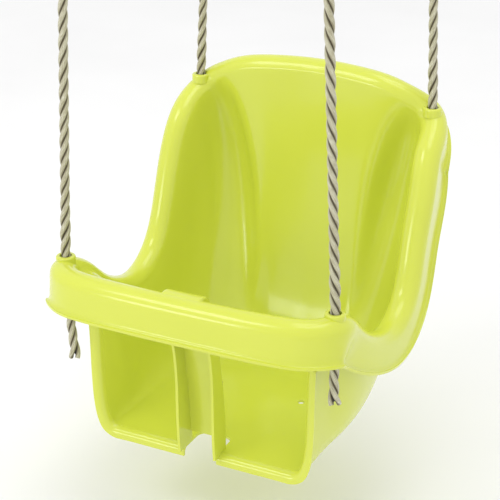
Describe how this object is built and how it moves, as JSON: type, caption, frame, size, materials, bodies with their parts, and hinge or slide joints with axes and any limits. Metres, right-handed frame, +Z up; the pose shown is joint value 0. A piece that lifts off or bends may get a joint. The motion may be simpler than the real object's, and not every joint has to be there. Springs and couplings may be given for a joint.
{
  "type": "toddler bucket swing",
  "caption": "Moulded toddler swing seat with high backrest, safety bar, centre post and leg openings, hung on ropes that end in rings.",
  "frame": {"origin": "hanging point: midway between the lowest points of the two front rings' wires", "axes": "+Z up, -Y the way the child faces, +X to the child's left"},
  "size_m": [0.355, 0.376, 0.8208],
  "materials": {
    "seat_plastic": "glossy injection-moulded polyethylene, lime",
    "rope": "three-strand twisted rope, beige-grey",
    "thimble_plastic": "black nylon",
    "ferrule_metal": "crimped, satin",
    "ring_steel": "zinc-plated"
  },
  "bodies": {
    "hangers": {"ring_front_left": "ring_steel", "ring_front_right": "ring_steel", "ring_back_left": "ring_steel", "ring_back_right": "ring_steel"},
    "front_ropes": {"rope_front_left": "rope", "thimble_front_left": "thimble_plastic", "ferrule_front_left": "ferrule_metal", "rope_front_right": "rope", "thimble_front_right": "thimble_plastic", "ferrule_front_right": "ferrule_metal"},
    "seat": {"seat_shell": "seat_plastic", "knot_front_left": "rope", "knot_front_right": "rope", "knot_back_left": "rope", "knot_back_right": "rope"},
    "back_ropes": {"rope_back_left": "rope", "thimble_back_left": "thimble_plastic", "ferrule_back_left": "ferrule_metal", "rope_back_right": "rope", "thimble_back_right": "thimble_plastic", "ferrule_back_right": "ferrule_metal"}
  },
  "joints": [
    {"name": "swing", "type": "hinge", "parent": "hangers", "child": "front_ropes", "pos_m": [0, 0, 0], "axis": [1, 0, 0], "range_deg": [-35, 35]},
    {"name": "seat_level", "type": "hinge", "parent": "front_ropes", "child": "seat", "pos_m": [0, 0.0053, -0.43], "axis": [1, 0, 0], "range_deg": [-35, 35]},
    {"name": "back_ropes_follow", "type": "hinge", "parent": "seat", "child": "back_ropes", "pos_m": [0, 0.2893, -0.306], "axis": [1, 0, 0], "range_deg": [-35, 35]}
  ],
  "couplings": [
    {"joint": "seat_level", "follows": "swing", "ratio": -1},
    {"joint": "back_ropes_follow", "follows": "swing", "ratio": 1}
  ]
}
